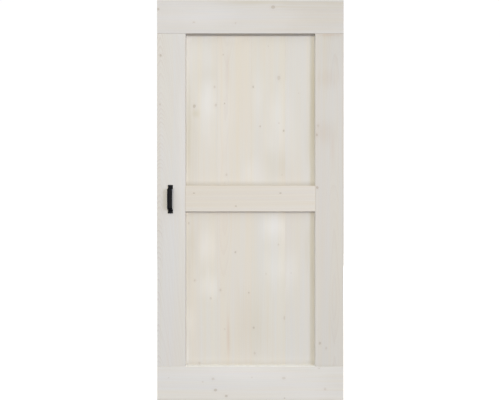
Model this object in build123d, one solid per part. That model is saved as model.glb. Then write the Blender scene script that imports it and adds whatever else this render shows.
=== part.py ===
"""Leaf of a sliding barn door, in limewashed spruce, with a black bow pull.

Two full-width rails, two stiles and a mid rail are planted on a panel of tongued and grooved
boards that runs the whole height of the leaf. The bottom rail has a groove for a floor guide.

Millimetres. X runs along the width, Y from the front (-) to the back (+), and Z up.
The origin is the middle of the top edge, where the leaf hangs.
"""

import os

from build123d import *

# Leaf
leaf_width = 1000.0
leaf_height = 2145.0
frame_thickness = 22.0
panel_thickness = 18.0
arris_radius = 1.5

# Frame boards
stile_width = 152.0
top_rail_height = 180.0
bottom_rail_height = 180.0
mid_rail_height = 139.0
mid_rail_centre_height = 1080.0

# Panel boards
board_width = 184.0
middle_seam_offset = 5.0
narrowest_edge_board = 40.0
seam_easing = 0.4
tongue_length = 7.0
tongue_thickness = 6.0
tongue_end_clearance = 0.5
tongue_side_clearance = 0.1

# Floor guide groove, along the middle of the bottom rail's underside
guide_groove_width = 8.0
guide_groove_depth = 18.0

# Bow pull, a crowned flat bar bent into two feet, two legs and a grip
pull_centre_from_edge = 72.0
pull_centre_height = 1077.0
pull_length = 152.0
pull_projection = 25.0
foot_length = 20.5
leg_run = 6.0
bar_width = 26.0
bar_edge_thickness = 4.0
bar_crown_thickness = 6.5
bar_arris_radius = 1.0
bend_radius = 3.0

# Countersunk screws that hold the pull's feet
screw_from_foot_end = 7.5
screw_shank_radius = 2.0
screw_head_radius = 4.2
screw_dome_height = 1.0
screw_length = 24.0
screw_hole_clearance = 0.1

# Planes that several pieces share
y_front = -(frame_thickness + panel_thickness) / 2
y_glue = y_front + frame_thickness
y_back = y_glue + panel_thickness
x_edge = leaf_width / 2
x_stile = x_edge - stile_width
z_bottom = -leaf_height
z_stile_top = -top_rail_height
z_stile_bottom = z_bottom + bottom_rail_height
z_mid_rail = z_bottom + mid_rail_centre_height
x_pull = -x_edge + pull_centre_from_edge
z_pull = z_bottom + pull_centre_height


def block(x_range, y_range, z_range):
    """A rectangular solid between two limits on each axis."""
    size = [high - low for low, high in (x_range, y_range, z_range)]
    middle = [(high + low) / 2 for low, high in (x_range, y_range, z_range)]
    return Pos(*middle) * Box(*size)


def frame_board(x_range, z_range):
    """A planed board on the panel's front, with the arrises of its face rounded."""
    board = block(x_range, (y_front, y_glue), z_range)
    face_edges = board.faces().sort_by(Axis.Y)[0].edges()
    return fillet(face_edges, arris_radius)


def guide_groove():
    """The space milled out of the bottom rail from end to end, for the fin of a floor guide."""
    y_middle = (y_front + y_glue) / 2
    return block(
        (-leaf_width, leaf_width),
        (y_middle - guide_groove_width / 2, y_middle + guide_groove_width / 2),
        (z_bottom - guide_groove_depth, z_bottom + guide_groove_depth),
    )


def panel_seams():
    """Where the panel's boards meet: one seam near the middle and the rest a board apart."""
    reach = int(leaf_width / board_width) + 1
    every_seam = [middle_seam_offset + step * board_width for step in range(-reach, reach + 1)]
    return [x for x in every_seam if abs(x) < x_edge - narrowest_edge_board]


def panel_board(x_left, x_right):
    """A board with a groove on its left edge and a tongue on its right, plain at the leaf's edges."""
    y_middle = (y_glue + y_back) / 2
    at_left_edge = x_left <= -x_edge
    at_right_edge = x_right >= x_edge
    with BuildSketch() as profile:
        with Locations(((x_left + x_right) / 2, y_middle)):
            Rectangle(x_right - x_left, panel_thickness)
        left_corners = profile.vertices().group_by(Axis.X)[0].sort_by(Axis.Y)
        right_corners = profile.vertices().group_by(Axis.X)[-1].sort_by(Axis.Y)
        if at_left_edge:
            fillet(left_corners[-1], arris_radius)
        else:
            chamfer(left_corners, seam_easing)
        if at_right_edge:
            fillet(right_corners[-1], arris_radius)
        else:
            chamfer(right_corners, seam_easing)
        if not at_left_edge:
            with Locations((x_left, y_middle)):
                Rectangle(
                    tongue_length + tongue_end_clearance,
                    tongue_thickness + 2 * tongue_side_clearance,
                    align=(Align.MIN, Align.CENTER),
                    mode=Mode.SUBTRACT,
                )
        if not at_right_edge:
            with Locations((x_right, y_middle)):
                Rectangle(tongue_length, tongue_thickness, align=(Align.MIN, Align.CENTER))
    return extrude(profile.sketch, -leaf_height)


def panel_boards():
    """The panel from left to right, numbered from 1."""
    edges = [-x_edge] + panel_seams() + [x_edge]
    pairs = zip(edges[:-1], edges[1:])
    return {f"panel_board_{number}": panel_board(*pair) for number, pair in enumerate(pairs, 1)}


def pull_screw_heights():
    """Heights of the two screws, in the top and the bottom foot."""
    reach = pull_length / 2 - screw_from_foot_end
    return (z_pull + reach, z_pull - reach)


def along_front(z):
    """A frame on the stile's face at the pull's middle line, with its own Z pointing out of the door."""
    return Plane(origin=(x_pull, y_front, z), x_dir=(1, 0, 0), z_dir=(0, -1, 0))


def countersink(clearance):
    """The cone and shank of a countersunk screw, seen from the foot's crown, widened by a clearance."""
    head_depth = screw_head_radius - screw_shank_radius
    shank = Cylinder(
        screw_shank_radius + clearance,
        screw_length,
        align=(Align.CENTER, Align.CENTER, Align.MAX),
    )
    head = Cone(
        screw_shank_radius + clearance,
        screw_head_radius + clearance,
        head_depth,
        align=(Align.CENTER, Align.CENTER, Align.MAX),
    )
    return Pos(0, 0, bar_crown_thickness) * (shank + head)


def screw_dome():
    """The low dome of a raised countersunk head, seated on its cone."""
    sphere_radius = (screw_head_radius**2 + screw_dome_height**2) / (2 * screw_dome_height)
    ball = Pos(0, 0, screw_dome_height - sphere_radius) * Sphere(sphere_radius)
    above_cone = Cylinder(
        screw_head_radius,
        screw_dome_height,
        align=(Align.CENTER, Align.CENTER, Align.MIN),
    )
    return Pos(0, 0, bar_crown_thickness) * (ball & above_cone)


def pull_path():
    """The line of the bar's flat back: along the stile, out along a leg, up the grip and back."""
    half = pull_length / 2
    foot_end = half - foot_length
    grip_end = foot_end - leg_run
    grip_back = y_front - (pull_projection - bar_crown_thickness)
    lower = [(y_front, -half), (y_front, -foot_end), (grip_back, -grip_end)]
    upper = [(y, -z) for y, z in reversed(lower)]
    points = [(x_pull, y, z_pull + z) for y, z in lower + upper]
    foot_bend = bend_radius + bar_crown_thickness
    return FilletPolyline(*points, radius=[foot_bend, bend_radius, bend_radius, foot_bend])


def pull_section():
    """The bar's section at the bottom foot: a flat back and a crowned front."""
    half = bar_width / 2
    with BuildSketch(Plane.XY) as section:
        with BuildLine():
            Polyline((half, -bar_edge_thickness), (half, 0), (-half, 0), (-half, -bar_edge_thickness))
            ThreePointArc(
                (-half, -bar_edge_thickness),
                (0, -bar_crown_thickness),
                (half, -bar_edge_thickness),
            )
        make_face()
        fillet(section.vertices().group_by(Axis.Y)[0], bar_arris_radius)
    return Pos(x_pull, y_front, z_pull - pull_length / 2) * section.sketch


def pull():
    """The bow pull, with a countersunk hole in each foot."""
    bar = sweep(pull_section(), path=pull_path())
    for z in pull_screw_heights():
        mouth = Pos(0, 0, bar_crown_thickness) * Cylinder(
            screw_head_radius + screw_hole_clearance,
            screw_dome_height,
            align=(Align.CENTER, Align.CENTER, Align.MIN),
        )
        bar -= along_front(z) * (countersink(screw_hole_clearance) + mouth)
    return bar


def pull_screw(z):
    """A raised countersunk screw, through a foot of the pull into the left stile."""
    return along_front(z) * (countersink(0) + screw_dome())


def left_stile():
    """The stile that carries the pull, with a pilot hole for each of its screws."""
    board = frame_board((-x_edge, -x_stile), (z_stile_bottom, z_stile_top))
    for z in pull_screw_heights():
        board -= along_front(z) * countersink(screw_hole_clearance)
    return board


def pieces():
    """Every piece of the leaf by name, from the panel forward."""
    mid_half = mid_rail_height / 2
    upper_screw, lower_screw = [pull_screw(z) for z in pull_screw_heights()]
    return {
        **panel_boards(),
        "top_rail": frame_board((-x_edge, x_edge), (z_stile_top, 0)),
        "bottom_rail": frame_board((-x_edge, x_edge), (z_bottom, z_stile_bottom)) - guide_groove(),
        "left_stile": left_stile(),
        "right_stile": frame_board((x_stile, x_edge), (z_stile_bottom, z_stile_top)),
        "mid_rail": frame_board((-x_stile, x_stile), (z_mid_rail - mid_half, z_mid_rail + mid_half)),
        "pull": pull(),
        "pull_upper_screw": upper_screw,
        "pull_lower_screw": lower_screw,
    }


os.makedirs("parts", exist_ok=True)
for name, piece in pieces().items():
    export_step(piece, f"parts/{name}.step")
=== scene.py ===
import math

import bmesh
import bpy
from mathutils import Matrix, Vector


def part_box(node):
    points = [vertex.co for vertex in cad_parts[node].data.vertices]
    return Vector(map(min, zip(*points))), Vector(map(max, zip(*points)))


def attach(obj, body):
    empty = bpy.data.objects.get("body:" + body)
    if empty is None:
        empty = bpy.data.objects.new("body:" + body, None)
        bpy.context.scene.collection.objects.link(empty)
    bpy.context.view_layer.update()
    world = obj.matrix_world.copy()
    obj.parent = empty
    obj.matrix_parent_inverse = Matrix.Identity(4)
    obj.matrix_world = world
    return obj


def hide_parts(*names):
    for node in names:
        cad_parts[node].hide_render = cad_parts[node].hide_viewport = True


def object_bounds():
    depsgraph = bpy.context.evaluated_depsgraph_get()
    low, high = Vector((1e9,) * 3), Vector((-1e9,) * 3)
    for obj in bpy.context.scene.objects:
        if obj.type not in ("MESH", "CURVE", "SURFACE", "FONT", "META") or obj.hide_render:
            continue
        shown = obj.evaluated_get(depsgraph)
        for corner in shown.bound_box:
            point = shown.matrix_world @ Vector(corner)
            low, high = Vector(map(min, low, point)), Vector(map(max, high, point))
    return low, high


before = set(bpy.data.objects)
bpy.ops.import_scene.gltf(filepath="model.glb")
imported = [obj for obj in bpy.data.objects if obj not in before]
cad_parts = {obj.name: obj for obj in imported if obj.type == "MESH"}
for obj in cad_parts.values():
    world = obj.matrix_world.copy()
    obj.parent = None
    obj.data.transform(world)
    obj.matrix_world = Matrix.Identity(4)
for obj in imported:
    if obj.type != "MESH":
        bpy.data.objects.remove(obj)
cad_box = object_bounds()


# The panel
# Six spruce boards run the whole height of the leaf, tongued and grooved into each other.
# They are planed, and brushed along the grain with a thin white limewash, so that the growth
# rings and the small knots still show through. The knots go right through to the back.

class Shade:
    """A socket in a node tree. Arithmetic on it adds Math nodes."""

    def __init__(self, tree, socket=None):
        self.tree = tree
        self.socket = socket

    def node(self, kind, settings=None, inputs=None, output=0):
        """Any node: its type, its settings, which are set first, and its sockets' values or links."""
        made = self.tree.nodes.new(kind)
        for name, value in (settings or {}).items():
            if name == "stops":
                elements = made.color_ramp.elements
                while len(elements) < len(value):
                    elements.new(0.5)
                for element, (position, level) in zip(elements, value):
                    element.position = position
                    element.color = (level, level, level, 1)
            else:
                setattr(made, name, value)
        for key, value in (inputs or {}).items():
            if isinstance(value, Shade):
                self.tree.links.new(value.socket, made.inputs[key])
            else:
                made.inputs[key].default_value = value
        return Shade(self.tree, made.outputs[output])

    def math(self, operation, *others):
        """A Math node with this value first."""
        return self.node("ShaderNodeMath", {"operation": operation}, dict(enumerate((self, *others))))

    def __add__(self, other):
        return self.math("ADD", other)

    def __sub__(self, other):
        return self.math("SUBTRACT", other)

    def __rsub__(self, other):
        return self.node("ShaderNodeMath", {"operation": "SUBTRACT"}, {0: other, 1: self})

    def __mul__(self, other):
        return self.math("MULTIPLY", other)

    __radd__ = __add__
    __rmul__ = __mul__

    def step(self, low, high):
        """0 at low and 1 at high, smooth between them. Low may be the larger of the two."""
        sockets = {"Value": self, "From Min": low, "From Max": high}
        return self.node("ShaderNodeMapRange", {"interpolation_type": "SMOOTHSTEP"}, sockets)

    def ramp(self, *stops):
        """A grey level for this value, read from (position, level) stops."""
        return self.node("ShaderNodeValToRGB", {"stops": stops}, {0: self})

    def mix(self, low, high):
        """A colour between two, with this value as the share of the second."""
        return self.node("ShaderNodeMix", {"data_type": "RGBA"}, {0: self, 6: low, 7: high}, output=2)

    def parts(self):
        """The three components of this vector."""
        split = self.node("ShaderNodeSeparateXYZ", None, {0: self}).socket.node
        return [Shade(self.tree, socket) for socket in split.outputs]

    def vector(self, x, y, z):
        """Three values as one vector."""
        return self.node("ShaderNodeCombineXYZ", None, {0: x, 1: y, 2: z})

    def placed(self, scale, shift):
        """This vector times a scale, plus a shift."""
        sockets = {0: self, 1: scale, 2: shift}
        return self.node("ShaderNodeVectorMath", {"operation": "MULTIPLY_ADD"}, sockets)

    def extent(self):
        """The length of this vector."""
        return self.node("ShaderNodeVectorMath", {"operation": "LENGTH"}, {0: self}, output=1)

    def noise(self, detail, output=0):
        """Cloudy noise about 1 unit across, from 0 to 1, where this vector is the place."""
        sockets = {"Vector": self, "Scale": 1.0, "Detail": detail, "Roughness": 0.55}
        return self.node("ShaderNodeTexNoise", {"noise_dimensions": "3D"}, sockets, output)


def new_finish(name):
    """An empty material with a principled shader, and a first shade to draw on it."""
    finish = bpy.data.materials.new(name)
    finish.use_nodes = True
    return finish, finish.node_tree.nodes["Principled BSDF"], Shade(finish.node_tree)


def link(shader, **shades):
    """Feeds shades to the shader's sockets, named with _ for a space."""
    for name, shade in shades.items():
        shade.tree.links.new(shade.socket, shader.inputs[name.replace("_", " ")])


def dress(node, finish):
    """Gives a CAD node the finish in all its material slots."""
    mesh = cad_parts[node].data
    mesh.materials.clear()
    mesh.materials.append(finish)


def tinted(colour, tint):
    """A colour shifted by a tint, as an opaque one."""
    return tuple(a * b for a, b in zip(colour, tint)) + (1.0,)


EARLYWOOD = (0.76, 0.57, 0.33, 1)
LATEWOOD = (0.52, 0.30, 0.13, 1)
AMBER = (0.57, 0.42, 0.16, 1)
RUSSET = (0.60, 0.35, 0.17, 1)
KNOT_HEART = (0.22, 0.15, 0.085, 1)
KNOT_BARK = (0.07, 0.045, 0.025, 1)
BLEED = (0.54, 0.51, 0.46, 1)
# grime in the joints, also used as painted shade under the top rail and in the corners over the rails
GRIME_AND_SHADE = (0.40, 0.37, 0.32, 1)
CREAM = (1.012, 0.994, 0.955)
CHALK = (0.988, 1.004, 1.032)
ROSE = (1.020, 0.984, 0.985)

PLAIN_KNOT = 0.60
FAINT_KNOT = 0.32
KNOT_STRETCH = 1.25
KNOT_PUSH = 0.006
HEART_WANDER = 0.05
LATEWOOD_RISE = 0.00006
FIBRE_RISE = 0.00005
BRUSH_RISE = 0.00004

# Each of these is where something is gone and where it is whole, for a smooth step between them:
# stains by depth under the face, wear and dirt by distance from an edge, and dust with painted shade
# by height and depth.
STAIN_DEPTH = (0.014, 0.006)
RUBBED_ARRIS = (0.0022, 0.0004)
JOINT_DIRT = (0.0018, 0.0002)
DUST_AND_SHADE_RISE = (0.036, -0.004)
DUST_AND_SHADE_FOOT = (-0.02, -0.01)
DUST_AND_SHADE_DEPTH = (0.003, 0.001)


def limewashed_spruce(
    node, along, log, wash, veil, seed, figure=1.0, knots=(), faint=(), resin=(AMBER, ()), patches=(),
    edges=(0.0, GRIME_AND_SHADE), joints=0.0, dust_and_shade=(),
):
    """One board, cut from its own log, in metres.

    along is the grain's axis. log is its heart, across and behind the middle of the board's face,
    how far the rings drift across the face for each metre of length, and how far apart they are.
    figure is how plainly the rings show. wash is the limewash's colour and veil how much it covers.
    Each knot is x, z and radius, and the faint ones lie deeper under the wash. resin is a colour and
    its streaks, each x, z, half width, half length and strength; on one board they also tint a stile's
    shadow, as painted shadow. patches are where the wash is thicker or thinner, and a few are painted
    light and painted shade: they are given like the streaks, and end with how much lighter or darker
    they are. edges is how much of which colour lies on the long narrow edges, which on some boards is a
    painted highlight and on one painted shade, and joints how grimy the ends are. dust lies in the
    corners over the rails that are planted on the board, together with painted shade: each is a height
    and an amount.
    """
    low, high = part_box(node)
    middle = (low + high) / 2
    half = (high - low) / 2
    upright = along == "z"
    heart_across, heart_behind, climb, ring = log
    finish, shader, pen = new_finish("limewashed_" + node)

    def on_board(leaf_x, leaf_z):
        """Across and along the board, for a place on the leaf."""
        place = (leaf_x - middle.x, leaf_z - middle.z)
        return place if upright else place[::-1]

    x, y, z = pen.node("ShaderNodeTexCoord", output=3).parts()
    across, length = on_board(x, z)
    depth = y - low.y
    grain = pen.vector(across, depth, length)
    facing = [part.math("ABSOLUTE") for part in pen.node("ShaderNodeNewGeometry", output=1).parts()]
    end_face = facing[2 if upright else 0].step(0.5, 0.9)
    long_face = facing[0 if upright else 2].step(0.5, 0.9)
    front = depth.step(*STAIN_DEPTH)

    def cloud(across_scale, along_scale, detail, layer, output=0):
        """Noise drawn out along the grain, in cycles to the metre."""
        shift = (seed * 7.3 + layer * 3.1, layer * 1.7, seed * 2.9 - layer * 5.7)
        return grain.placed((across_scale, across_scale, along_scale), shift).noise(detail, output)

    def nearest(spots):
        """Distance to the nearest of some ellipses, 1 on its edge."""
        least = None
        for leaf_x, leaf_z, half_across, half_along in spots:
            spot = on_board(leaf_x, leaf_z)
            scale = (1 / half_across, 0, 1 / half_along)
            reach = grain.placed(scale, (-spot[0] / half_across, 0, -spot[1] / half_along)).extent()
            least = reach if least is None else least.math("MINIMUM", reach)
        return least

    # the knots: how near the closest one is, and how much of its heart and its bark shows
    knot, core, bark = None, None, None
    raggedness = (cloud(170, 120, 1, 4) - 0.5) * 0.9
    for spots, strength in ((knots, PLAIN_KNOT), (faint, FAINT_KNOT)):
        if spots:
            reach = nearest([(*place, size, size * KNOT_STRETCH) for *place, size in spots])
            ragged = reach + raggedness
            years = (ragged * 4.0).math("PINGPONG", 0.5) * 0.9 + 0.55
            heart = ragged.step(1.20, 0.75) * years * strength
            rim = ragged.step(0.60, 0.95) * ragged.step(1.35, 1.05) * strength
            knot = reach if knot is None else knot.math("MINIMUM", reach)
            core = heart if core is None else core.math("MAXIMUM", heart)
            bark = rim if bark is None else bark.math("MAXIMUM", rim)
    halo = knot.step(3.6, 0.8)

    # growth rings round a heart that wanders along the log, pushed aside by the knots
    wander = cloud(0.0, 1.2, 1, 1, output=1)
    middle_sway = HEART_WANDER / 2
    to_heart = (-middle_sway - heart_across, -middle_sway - heart_behind, 0)
    wander = wander.placed((HEART_WANDER, HEART_WANDER, 0), to_heart)
    radius = grain.placed((1, 1, 0), wander).extent() + length * climb + halo * KNOT_PUSH
    radius = radius + cloud(9, 1.0, 2, 2) * 0.012 + cloud(60, 4.0, 2, 3) * 0.0022
    turns = radius * (1 / ring)
    late = turns.math("FRACT").ramp((0.0, 0.05), (0.45, 0.10), (0.80, 0.62), (0.93, 1.0), (1.0, 0.05))
    count = turns.math("FLOOR") + seed * 17.0
    year = pen.node("ShaderNodeTexWhiteNoise", {"noise_dimensions": "1D"}, {"W": count})
    late = late * (year * 0.55 + 0.20) * figure
    bare = late.mix(EARLYWOOD, LATEWOOD)
    resin_colour, streaks = resin
    stain = None
    creep = (cloud(34, 3, 2, 5) - 0.5) * 1.3
    for *spot, strength in streaks:
        runs = (nearest([spot]) + creep).step(1.25, 0.1) * front * strength
        stain = runs if stain is None else stain.math("MAXIMUM", runs)
    if streaks:
        bare = stain.mix(bare, resin_colour)
    bare = (halo * 0.4).mix(bare, LATEWOOD)
    bare = core.mix(bare, KNOT_HEART)
    bare = (bark * 0.7).mix(bare, KNOT_BARK)

    # the limewash, in brush strokes and patches, thin on arrises, ends, knots and resin; a few patches
    # are painted light and painted shade
    fibre = cloud(900, 14, 2, 6)
    brush = cloud(130, 1.6, 3, 7)
    patch = cloud(7, 1.8, 3, 8)
    to_side = half[0 if upright else 2] - across.math("ABSOLUTE")
    to_end = half[2 if upright else 0] - length.math("ABSOLUTE")
    rubbed = to_side.math("MINIMUM", to_end).step(*RUBBED_ARRIS) * cloud(40, 12, 2, 9).step(0.35, 0.65)
    cover = (patch - 0.5) * 0.12 + (brush - 0.5) * 0.13 + (fibre - 0.5) * 0.05 + veil
    cover = cover - late * 0.05 - rubbed * 0.18 - end_face * 0.16
    cover = cover - core.math("MAXIMUM", bark) * 0.22 - halo * 0.02
    if streaks:
        cover = cover - stain * 0.10
    coat = cloud(30, 0.7, 3, 10).step(0.30, 0.70).mix(tinted(wash, CREAM), tinted(wash, CHALK))
    coat = (cloud(9, 1.2, 2, 11).step(0.40, 0.75) * 0.4).mix(coat, tinted(wash, ROSE))
    ebb = (cloud(9, 3.5, 2, 12) - 0.5) * 1.7 + (brush - 0.5) * 1.6
    for *spot, amount in patches:
        lies = (nearest([spot]) + ebb).step(1.6, -0.1) * front * amount
        coat = coat.placed(pen.vector(lies + 1, lies + 1, lies * 1.15 + 1), (0, 0, 0))
        cover = cover + lies * 0.3
    coat = core.mix(coat, BLEED)
    colour = cover.math("MINIMUM", 0.96).mix(bare, coat)

    # what lies on the narrow edges, a painted highlight on some boards and painted shade on one, the
    # grime in the joints, and the dust and painted shade in the corners over the rails
    colour = (long_face * edges[0] * (1 - late * 0.5)).mix(colour, edges[1])
    dirt_and_shade = to_end.step(*JOINT_DIRT) * joints
    for ledge, amount in dust_and_shade:
        above = z - ledge
        darkened = above.step(*DUST_AND_SHADE_RISE) * above.step(*DUST_AND_SHADE_FOOT) * depth.step(*DUST_AND_SHADE_DEPTH)
        dirt_and_shade = dirt_and_shade.math("MAXIMUM", darkened * amount)
    colour = dirt_and_shade.mix(colour, GRIME_AND_SHADE)

    # the wash raises the grain a little: the latewood stands proud, and the fibres are rough
    height = late * LATEWOOD_RISE + fibre * FIBRE_RISE + brush * BRUSH_RISE
    relief = pen.node("ShaderNodeBump", None, {"Strength": 0.6, "Distance": 1.0, "Height": height})
    link(shader, Base_Color=colour, Roughness=0.70 - late * 0.12 + (fibre - 0.5) * 0.10, Normal=relief)
    shader.inputs["Specular IOR Level"].default_value = 0.35
    dress(node, finish)


def painted_light_under_top_rail(x):
    """A lighter patch in the corner under the top rail, on the board at x: painted light against the
    shade there.
    """
    return (x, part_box("top_rail")[0].z, 0.300, 0.022, 0.09)


# Dust, together with painted shade, in the corners over the mid rail and the bottom rail
CORNER_DUST_AND_SHADE = [(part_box("mid_rail")[1].z, 0.62), (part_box("bottom_rail")[1].z, 0.46)]

limewashed_spruce(
    "panel_board_1", "z", log=(0.02, 0.075, 0.010, 0.0032),
    wash=(0.709, 0.722, 0.731), veil=0.80, seed=1,
    knots=[(-0.432, -0.512, 0.0060), (-0.458, -1.305, 0.0070), (-0.404, -1.846, 0.0050)],
)
limewashed_spruce(
    "panel_board_2", "z", log=(-0.12, 0.060, 0.006, 0.0030),
    wash=(0.709, 0.722, 0.731), veil=0.80, seed=2,
    knots=[(-0.304, -0.562, 0.0064)],
    faint=[
        (-0.194, -0.458, 0.0045), (-0.187, -0.557, 0.0055), (-0.215, -1.604, 0.0042),
        (-0.276, -1.958, 0.0050), (-0.335, -1.197, 0.0040), (-0.302, -1.507, 0.0040),
    ],
    resin=(AMBER, [(-0.297, -0.602, 0.024, 0.028, 1.0), (-0.335, -0.710, 0.016, 0.340, 1.0)]),
    patches=[
        (-0.228, -0.556, 0.050, 0.170, 0.10), (-0.273, -0.290, 0.060, 0.090, 0.03),
        (-0.241, -1.330, 0.050, 0.090, 0.09), (-0.215, -1.540, 0.070, 0.060, 0.08),
        (-0.322, -1.733, 0.035, 0.080, 0.05), (-0.224, -0.391, 0.045, 0.050, -0.05),
        (-0.326, -0.800, 0.040, 0.220, -0.07), (-0.316, -1.299, 0.040, 0.160, -0.08),
        (-0.342, -1.480, 0.022, 0.220, -0.06), painted_light_under_top_rail(-0.271),
        # painted light along the left stile's edge, against the shade in that corner
        (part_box("left_stile")[1].x, -1.072, 0.011, 2.000, 0.11),
    ],
    dust_and_shade=CORNER_DUST_AND_SHADE,
)
limewashed_spruce(
    "panel_board_3", "z", log=(-0.05, 0.090, -0.012, 0.0036), figure=0.6,
    wash=(0.711, 0.711, 0.710), veil=0.79, seed=3,
    knots=[(-0.139, -0.548, 0.0030), (-0.081, -1.354, 0.0040), (-0.008, -1.574, 0.0031)],
    faint=[
        (-0.129, -0.934, 0.0045), (-0.147, -0.283, 0.0033), (-0.162, -1.560, 0.0046),
        (-0.139, -1.771, 0.0025),
    ],
    resin=(RUSSET, [(-0.120, -1.810, 0.012, 0.190, 1.0), (-0.124, -0.370, 0.016, 0.140, 0.6)]),
    patches=[
        (-0.150, -0.720, 0.050, 0.260, 0.04), (0.020, -0.925, 0.070, 0.070, 0.07),
        (0.003, -1.755, 0.100, 0.180, -0.05), painted_light_under_top_rail(-0.087),
    ],
    dust_and_shade=CORNER_DUST_AND_SHADE,
)
limewashed_spruce(
    "panel_board_4", "z", log=(0.12, 0.050, 0.008, 0.0028),
    wash=(0.695, 0.704, 0.706), veil=0.82, seed=4,
    knots=[
        (0.015, -0.457, 0.0040), (0.053, -0.671, 0.0034), (0.181, -0.696, 0.0044),
        (0.018, -1.764, 0.0042),
    ],
    faint=[
        (0.154, -0.409, 0.0075), (0.155, -0.654, 0.0027), (0.097, -0.237, 0.0022),
        (0.171, -0.935, 0.0022), (0.024, -1.903, 0.0044), (0.152, -1.313, 0.0034),
        (0.085, -1.472, 0.0026), (0.187, -1.711, 0.0065),
    ],
    patches=[
        (0.158, -0.620, 0.072, 0.150, 0.08), (0.020, -0.925, 0.070, 0.070, 0.06),
        (0.134, -1.212, 0.080, 0.070, 0.12), (0.165, -1.450, 0.080, 0.120, 0.08),
        (0.188, -0.898, 0.120, 0.080, -0.06), (0.003, -1.755, 0.100, 0.180, -0.06),
        painted_light_under_top_rail(0.097), (0.045, -0.520, 0.036, 0.130, 0.05),
    ],
    dust_and_shade=CORNER_DUST_AND_SHADE,
)
limewashed_spruce(
    "panel_board_5", "z", log=(0.14, 0.080, -0.006, 0.0034),
    wash=(0.677, 0.685, 0.698), veil=0.84, seed=5,
    faint=[(0.221, -1.467, 0.0018), (0.262, -0.492, 0.0020)],
    # the amber streaks along the right stile tint the stile's shadow on this board: painted shadow
    resin=(AMBER, [
        (0.350, -0.590, 0.030, 0.520, 1.0), (0.350, -1.550, 0.030, 0.520, 1.0),
        (0.315, -0.780, 0.030, 0.150, 0.6), (0.315, -1.330, 0.030, 0.140, 0.6),
    ]),
    patches=[
        (0.205, -0.680, 0.045, 0.240, 0.05), (0.205, -1.470, 0.060, 0.120, 0.08),
        # the darker patch beside the right stile deepens its shadow: painted shadow
        (0.340, -0.620, 0.035, 0.240, -0.04), painted_light_under_top_rail(0.281),
    ],
    dust_and_shade=CORNER_DUST_AND_SHADE,
)
limewashed_spruce(
    "panel_board_6", "z", log=(-0.04, 0.070, 0.009, 0.0031),
    wash=(0.677, 0.685, 0.698), veil=0.80, seed=6,
    knots=[(0.441, -0.353, 0.0060), (0.412, -1.104, 0.0050), (0.457, -1.612, 0.0070)],
)


# Top and bottom rail
# Two full-width spruce boards planted across the ends of the panel, glued and screwed from behind.
# Their grain runs across the leaf. The bottom one has the groove for the floor guide, a painted
# highlight on its upper edge, and a painted shadow along its foot.

# Near white, put on as painted light: on the bottom rail's upper edge and the right stile's edges
PAINTED_LIGHT_LIME = (0.90, 0.89, 0.86, 1)

limewashed_spruce(
    "top_rail", "x", log=(0.14, 0.080, 0.006, 0.0036), figure=1.6,
    wash=(0.666, 0.679, 0.713), veil=0.84, seed=11,
    knots=[(0.121, -0.039, 0.0074), (-0.494, -0.050, 0.0050)],
    faint=[(-0.303, -0.120, 0.0040), (-0.080, -0.124, 0.0030)],
    resin=(AMBER, [(0.010, -0.014, 0.016, 0.300, 0.8), (0.160, -0.036, 0.006, 0.050, 1.0)]),
    patches=[
        (-0.330, -0.100, 0.080, 0.230, 0.07), (0.420, -0.090, 0.130, 0.280, -0.08),
        (0.020, -0.014, 0.012, 0.160, -0.03), (0.480, -0.020, 0.030, 0.080, -0.05),
        (0.330, -0.016, 0.034, 0.260, -0.06), (0.080, -0.026, 0.022, 0.260, -0.03),
    ],
    # painted shade on the top rail's underside, in the grime colour
    edges=(0.40, GRIME_AND_SHADE),
)
limewashed_spruce(
    "bottom_rail", "x", log=(-0.14, 0.070, -0.005, 0.0038), figure=1.6,
    wash=(0.733, 0.750, 0.780), veil=0.84, seed=12,
    knots=[(-0.187, -2.091, 0.0062), (-0.129, -2.123, 0.0052), (0.183, -2.134, 0.0030)],
    faint=[
        (-0.200, -2.031, 0.0056), (0.179, -2.027, 0.0062), (0.400, -2.086, 0.0046),
        (-0.255, -2.047, 0.0028), (-0.438, -2.025, 0.0024), (0.008, -2.023, 0.0027),
        (0.368, -1.974, 0.0032),
    ],
    patches=[
        (-0.080, -1.990, 0.050, 0.260, 0.05), (0.470, -2.060, 0.120, 0.110, -0.07),
        # painted shadow along the foot of the rail
        (-0.100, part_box("bottom_rail")[0].z, 0.006, 1.200, -0.20),
    ],
    # painted highlight on the upper edge, lighter as if lit from above
    edges=(1.0, PAINTED_LIGHT_LIME),
)


# Stiles
# Two spruce boards between the rails, glued to the panel's edges and screwed from behind. The left
# one carries the pull, and its edges have yellowed. The right one's edges are lightened, as painted
# light, for the inner one lies in shade. Grime marks the joints with the rails.

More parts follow.
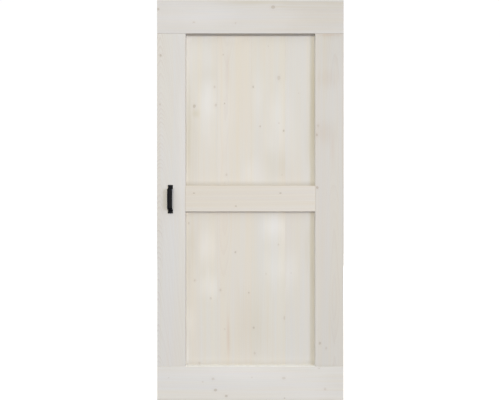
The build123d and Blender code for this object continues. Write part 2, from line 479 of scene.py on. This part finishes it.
limewashed_spruce(
    "left_stile", "z", log=(-0.064, 0.055, 0.110, 0.0030), figure=2.0,
    wash=(0.690, 0.709, 0.743), veil=0.84, seed=21,
    knots=[(-0.481, -0.298, 0.0047)],
    faint=[(-0.484, -0.560, 0.0038)],
    patches=[
        (-0.492, -1.070, 0.020, 0.900, -0.04), (-0.364, -0.900, 0.022, 0.700, 0.04),
    ],
    edges=(0.10, AMBER),
    joints=0.6,
)
limewashed_spruce(
    "right_stile", "z", log=(0.03, 0.085, 0.010, 0.0034),
    wash=(0.628, 0.638, 0.657), veil=0.82, seed=22,
    knots=[(0.359, -1.006, 0.0056), (0.356, -0.723, 0.0048), (0.372, -1.840, 0.0050)],
    faint=[(0.363, -0.674, 0.0048), (0.406, -1.866, 0.0042)],
    resin=(RUSSET, [
        (0.440, -0.780, 0.012, 0.140, 0.6), (0.398, -0.715, 0.070, 0.070, 0.5),
        (0.357, -1.006, 0.007, 0.014, 1.0), (0.424, -0.188, 0.080, 0.010, 1.0),
        (0.420, -0.420, 0.070, 0.060, 0.4),
    ]),
    patches=[
        (0.398, -0.715, 0.065, 0.075, -0.03), (0.420, -0.260, 0.100, 0.150, -0.04),
        (0.424, -0.188, 0.090, 0.020, -0.06), (0.424, -1.962, 0.090, 0.010, -0.05),
        (0.415, -0.424, 0.070, 0.050, -0.03), (0.445, -1.740, 0.030, 0.140, -0.03),
        (0.360, -1.600, 0.022, 0.400, 0.03), (0.498, -1.072, 0.005, 0.880, -0.07),
    ],
    # painted light on the narrow edges: the inner one lies in shade and is lightened
    edges=(1.0, PAINTED_LIGHT_LIME),
    joints=0.6,
)


# Mid rail
# A spruce board between the stiles, at the height of the pull, fixed to the panel like the rest of
# the frame. Its grain is coarser, and its wash is thinner and warmer than on the rails.

limewashed_spruce(
    "mid_rail", "x", log=(0.13, 0.050, 0.004, 0.0044), figure=2.2,
    wash=(0.705, 0.710, 0.717), veil=0.78, seed=31,
    knots=[(-0.302, -1.036, 0.0034), (0.161, -1.036, 0.0038), (-0.078, -1.105, 0.0038)],
    joints=0.5,
)


# Bow pull
# A flat bar of steel with a crowned face, bent into two feet, two legs and a grip.
# It is powder coated in satin black, and stands on the left stile, held by a screw in each foot.

COAT_BLACK = (0.0024, 0.0030, 0.0056, 1)
COAT_DUSTY = (0.0048, 0.0056, 0.0084, 1)


def black_coat(name):
    """Satin black powder coat, with a fine orange peel and a little dust."""
    finish, shader, pen = new_finish(name)
    point = pen.node("ShaderNodeTexCoord", output=3)
    peel = point.placed((900, 900, 900), (0, 0, 0)).noise(2)
    dust_and_shade = point.placed((60, 60, 60), (5, 0, 0)).noise(3)
    relief = pen.node("ShaderNodeBump", None, {"Strength": 0.35, "Distance": 0.0004, "Height": peel})
    colour = dust_and_shade.step(0.35, 0.75).mix(COAT_BLACK, COAT_DUSTY)
    link(shader, Base_Color=colour, Roughness=dust_and_shade * 0.16 + 0.40, Normal=relief)
    shader.inputs["Specular IOR Level"].default_value = 0.12
    return finish


dress("pull", black_coat("black_pull"))


# Screws of the pull
# A raised countersunk wood screw in each foot, of steel, coated black like the pull. Its head has a
# cross recess, which is pressed in and tapers, and its cone seats in the foot's countersink.

def lathe(profile, segments):
    """A closed solid of revolution round Z, from (radius, height) points that start and end on it."""
    solid = bmesh.new()
    rings = []
    for radius, height in profile:
        steps = segments if radius else 1
        angles = [math.tau * step / steps for step in range(steps)]
        points = [(radius * math.cos(angle), radius * math.sin(angle), height) for angle in angles]
        rings.append([solid.verts.new(point) for point in points])
    for lower, upper in zip(rings, rings[1:]):
        for step in range(segments):
            corners = [(lower, step), (lower, step + 1), (upper, step + 1), (upper, step)]
            solid.faces.new(dict.fromkeys(ring[place % len(ring)] for ring, place in corners))
    bmesh.ops.recalc_face_normals(solid, faces=solid.faces)
    return solid


def as_mesh(solid, name):
    """The mesh of a bmesh solid, which is used up."""
    mesh = bpy.data.meshes.new(name)
    solid.to_mesh(mesh)
    solid.free()
    return mesh


# The recess, in shares of the head's radius, of the cross's own size, and of the dome's height
RECESS_REACH = 0.56
RECESS_ARM = 0.24
RECESS_DEPTH = 0.42
RECESS_FOOT = 0.5
RECESS_MOUTH = 1.05
CUTTER_TOP = 1.5
DOME_RINGS = 7
SHARP_ANGLE = math.radians(35)


def cross_cutter(reach, arm, top, bottom):
    """A plus-shaped plug that tapers from top to bottom, to cut a screw's recess."""
    corner = arm / 2
    quarter = [(reach, -corner), (reach, corner), (corner, corner)]
    outline = []
    for turn in range(4):
        spin = Matrix.Rotation(turn * math.pi / 2, 2)
        outline += [spin @ Vector(point) for point in quarter]
    plug = bmesh.new()
    loops = []
    for height, share in ((bottom, RECESS_FOOT), (top, RECESS_MOUTH)):
        loops.append([plug.verts.new((p.x * share, p.y * share, height)) for p in outline])
    for step in range(len(outline)):
        after = (step + 1) % len(outline)
        plug.faces.new((loops[0][step], loops[0][after], loops[1][after], loops[1][step]))
    plug.faces.new(loops[0])
    plug.faces.new(loops[1])
    bmesh.ops.recalc_face_normals(plug, faces=plug.faces)
    return plug


def screw_mesh(name, radius, dome, shank, length, segments):
    """A raised countersunk screw along Z, the rim of its head at z = 0, with a cross recess."""
    sphere = (radius**2 + dome**2) / (2 * dome)
    profile = [(0, -length), (shank, -length), (shank, shank - radius), (radius, 0)]
    for ring in range(1, DOME_RINGS):
        angle = math.asin(radius / sphere) * (1 - ring / DOME_RINGS)
        profile.append((sphere * math.sin(angle), sphere * math.cos(angle) - sphere + dome))
    profile.append((0, dome))
    blank = bpy.data.objects.new(name, as_mesh(lathe(profile, segments), name))
    recess_floor = dome - radius * RECESS_DEPTH
    plug = cross_cutter(radius * RECESS_REACH, radius * RECESS_ARM, dome * CUTTER_TOP, recess_floor)
    cutter = bpy.data.objects.new("recess", as_mesh(plug, "recess"))
    for made in (blank, cutter):
        bpy.context.scene.collection.objects.link(made)
    cut = blank.modifiers.new("recess", "BOOLEAN")
    cut.operation = "DIFFERENCE"
    cut.solver = "EXACT"
    cut.object = cutter
    mesh = bpy.data.meshes.new_from_object(blank.evaluated_get(bpy.context.evaluated_depsgraph_get()))
    for made in (blank, cutter):
        bpy.data.objects.remove(made)
    mesh.name = name
    mesh.shade_smooth()
    mesh.set_sharp_from_angle(angle=SHARP_ANGLE)
    return mesh


PULL_SCREW_DOME = 0.0010
PULL_SCREW_SHANK = 0.0020
PULL_SCREW_SEGMENTS = 48
FIRST_SCREW_TURN = 0.35
NEXT_SCREW_TURN = 0.9

for number, node in enumerate(("pull_upper_screw", "pull_lower_screw")):
    low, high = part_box(node)
    head_radius = (high.x - low.x) / 2
    length = high.y - low.y - PULL_SCREW_DOME
    mesh = screw_mesh(
        node + "_recessed", head_radius, PULL_SCREW_DOME, PULL_SCREW_SHANK, length, PULL_SCREW_SEGMENTS
    )
    screw = bpy.data.objects.new(node + "_recessed", mesh)
    screw.location = ((low.x + high.x) / 2, low.y + PULL_SCREW_DOME, (low.z + high.z) / 2)
    screw.rotation_euler = (math.pi / 2, FIRST_SCREW_TURN + number * NEXT_SCREW_TURN, 0)
    bpy.context.scene.collection.objects.link(screw)
    mesh.materials.append(black_coat("black_" + node))
    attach(screw, "root")
    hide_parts(node)


# Fixing screws on the back
# The rails and stiles are held from behind by zinc plated steel screws with raised heads: two
# through each board into the rails that it backs, and a staggered row up each stile.

ZINC_BRIGHT = (0.60, 0.60, 0.59, 1)
ZINC_DULL = (0.52, 0.50, 0.44, 1)


def zinc_plate():
    """Bright zinc plating on steel, dulled a little and with a faint yellow cast."""
    finish, shader, pen = new_finish("zinc_plate")
    point = pen.node("ShaderNodeTexCoord", output=3)
    bloom = point.placed((420, 420, 420), (0, 0, 0)).noise(3)
    tarnish = point.placed((23, 23, 23), (3, 0, 0)).noise(2)
    colour = tarnish.step(0.3, 0.7).mix(ZINC_BRIGHT, ZINC_DULL)
    relief = pen.node("ShaderNodeBump", None, {"Strength": 0.2, "Distance": 0.0003, "Height": bloom})
    link(shader, Base_Color=colour, Roughness=bloom * 0.22 + 0.26, Normal=relief)
    shader.inputs["Metallic"].default_value = 1.0
    return finish


FIXING_RADIUS = 0.0038
FIXING_DOME = 0.0009
FIXING_SHANK = 0.0017
FIXING_LENGTH = 0.004
FIXING_SEGMENTS = 24
FIXING_TURN = 2.4
FIXING_INSET = 0.046
FIXING_MARGIN = FIXING_INSET / 4
STILE_PITCH = 0.232
STILE_STAGGER = 0.034
RAIL_STAGGERS = {"top_rail": 0.042, "bottom_rail": 0.042, "mid_rail": 0.032}
BOARD_COUNT = 6

back_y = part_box("panel_board_1")[1].y
fixings = []
for node in ("left_stile", "right_stile"):
    low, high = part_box(node)
    count = int((high.z - low.z) / STILE_PITCH)
    pitch = (high.z - low.z) / count
    for number in range(count):
        side = STILE_STAGGER if number % 2 else -STILE_STAGGER
        fixings.append(((low.x + high.x) / 2 + side, low.z + (number + 0.5) * pitch))
for rail, stagger in RAIL_STAGGERS.items():
    rail_low, rail_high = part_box(rail)
    for number in range(1, BOARD_COUNT + 1):
        board_low, board_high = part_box(f"panel_board_{number}")
        half_gauge = (board_high.x - board_low.x) / 2 - FIXING_INSET
        for side in (-1, 1):
            x = (board_low.x + board_high.x) / 2 + side * half_gauge
            if rail_low.x + FIXING_MARGIN < x < rail_high.x - FIXING_MARGIN:
                fixings.append((x, (rail_low.z + rail_high.z) / 2 + side * stagger))

one_fixing = screw_mesh(
    "one_fixing", FIXING_RADIUS, FIXING_DOME, FIXING_SHANK, FIXING_LENGTH, FIXING_SEGMENTS
)
heads = bmesh.new()
for number, (x, z) in enumerate(fixings):
    first = len(heads.verts)
    heads.from_mesh(one_fixing)
    heads.verts.ensure_lookup_table()
    turn = Matrix.Rotation(number * FIXING_TURN, 4, "Z")
    seat = Matrix.Translation((x, back_y, z)) @ Matrix.Rotation(-math.pi / 2, 4, "X") @ turn
    bmesh.ops.transform(heads, matrix=seat, verts=heads.verts[first:])
fixing_screws = bpy.data.objects.new("fixing_screws", as_mesh(heads, "fixing_screws"))
bpy.data.meshes.remove(one_fixing)
bpy.context.scene.collection.objects.link(fixing_screws)
fixing_screws.data.materials.append(zinc_plate())
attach(fixing_screws, "root")


# Floor, backdrop and light
# A pale floor just under the hanging leaf, and plain white all round. A broad warm light stands in
# front, a tall cool one on the right, which throws the stile's shadow on the panel, a small one on
# the left, and one behind.

FLOOR_GAP = 0.010
FLOOR_SIZE = 8.0
BACKDROP_RADIUS = 11.0
ROOM_ABOVE = (0.777, 0.809, 0.813, 1)
ROOM_BELOW = (0.200, 0.200, 0.190, 1)
HORIZON_BLUR = 0.25
LAMP_TARGET = Vector((0, 0, -1.0))
cad_low = cad_box[0]

floor_mesh = bpy.data.meshes.new("floor")
floor_signs = [(-1, -1), (1, -1), (1, 1), (-1, 1)]
floor_corners = [(FLOOR_SIZE * a, FLOOR_SIZE * b, cad_low.z - FLOOR_GAP) for a, b in floor_signs]
floor_mesh.from_pydata(floor_corners, [], [(0, 1, 2, 3)])
floor = bpy.data.objects.new("floor", floor_mesh)
bpy.context.scene.collection.objects.link(floor)
floor_finish, floor_shader = new_finish("pale_floor")[:2]
floor_shader.inputs["Base Color"].default_value = (0.85, 0.85, 0.84, 1)
floor_shader.inputs["Roughness"].default_value = 0.9
floor_shader.inputs["Emission Color"].default_value = (1, 1, 1, 1)
floor_shader.inputs["Emission Strength"].default_value = 0.45
floor_mesh.materials.append(floor_finish)
floor.visible_diffuse = False
floor.visible_glossy = False

shell = bmesh.new()
bmesh.ops.create_uvsphere(shell, u_segments=48, v_segments=24, radius=BACKDROP_RADIUS)
backdrop_mesh = as_mesh(shell, "backdrop")
backdrop = bpy.data.objects.new("backdrop", backdrop_mesh)
backdrop.location = (0, 0, cad_low.z / 2)
bpy.context.scene.collection.objects.link(backdrop)
backdrop_finish, backdrop_shader = new_finish("white_backdrop")[:2]
backdrop_shader.inputs["Base Color"].default_value = (0, 0, 0, 1)
backdrop_shader.inputs["Emission Color"].default_value = (1, 1, 1, 1)
backdrop_shader.inputs["Emission Strength"].default_value = 1.0
backdrop_mesh.materials.append(backdrop_finish)
for ray in ("diffuse", "glossy", "transmission", "volume_scatter", "shadow"):
    setattr(backdrop, "visible_" + ray, False)

room = bpy.data.worlds.new("room")
bpy.context.scene.world = room
room.use_nodes = True
up = Shade(room.node_tree).node("ShaderNodeTexCoord").parts()[2]
glow = up.step(-HORIZON_BLUR, HORIZON_BLUR).mix(ROOM_BELOW, ROOM_ABOVE)
room.node_tree.links.new(glow.socket, room.node_tree.nodes["Background"].inputs["Color"])


def softbox(name, place, width, height, power, colour):
    """A soft rectangular lamp at a place, turned to about the middle of the leaf."""
    lamp = bpy.data.lights.new(name, "AREA")
    lamp.shape = "RECTANGLE"
    lamp.size = width
    lamp.size_y = height
    lamp.energy = power
    lamp.color = colour
    holder = bpy.data.objects.new(name, lamp)
    holder.location = place
    holder.rotation_euler = (LAMP_TARGET - holder.location).to_track_quat("-Z", "Y").to_euler()
    holder.visible_camera = False
    bpy.context.scene.collection.objects.link(holder)


softbox("front", (0.0, -6.0, -0.1), 4.0, 4.0, 145.0, (1.0, 0.89, 0.56))
softbox("window_right", (6.6, -5.5, -1.2), 2.0, 5.4, 380.0, (0.69, 0.755, 1.0))
softbox("left", (-1.5, -4.4, -1.5), 2.0, 2.0, 22.0, (0.56, 0.60, 1.0))
softbox("behind", (1.6, 5.0, 0.4), 3.5, 3.5, 180.0, (1.0, 0.97, 0.92))


# Camera
# Square to the leaf and close to it, a little under the middle of its height, with a small lens
# shift that brings the whole leaf into the frame.

VIEW_DISTANCE = 1.80
VIEW_WIDTH = 2.679
EYE_HEIGHT = -1.18
VIEW_CENTRE = (-0.002, -1.0725)
SENSOR_WIDTH = 36.0

camera_data = bpy.data.cameras.new("camera")
camera_data.sensor_width = SENSOR_WIDTH
camera_data.lens = SENSOR_WIDTH * VIEW_DISTANCE / VIEW_WIDTH
camera_data.shift_y = (VIEW_CENTRE[1] - EYE_HEIGHT) / VIEW_WIDTH
camera = bpy.data.objects.new("camera", camera_data)
camera.location = (VIEW_CENTRE[0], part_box("top_rail")[0].y - VIEW_DISTANCE, EYE_HEIGHT)
camera.rotation_euler = (math.pi / 2, 0, 0)
bpy.context.scene.collection.objects.link(camera)
bpy.context.scene.camera = camera
bpy.context.scene.view_settings.view_transform = "Standard"
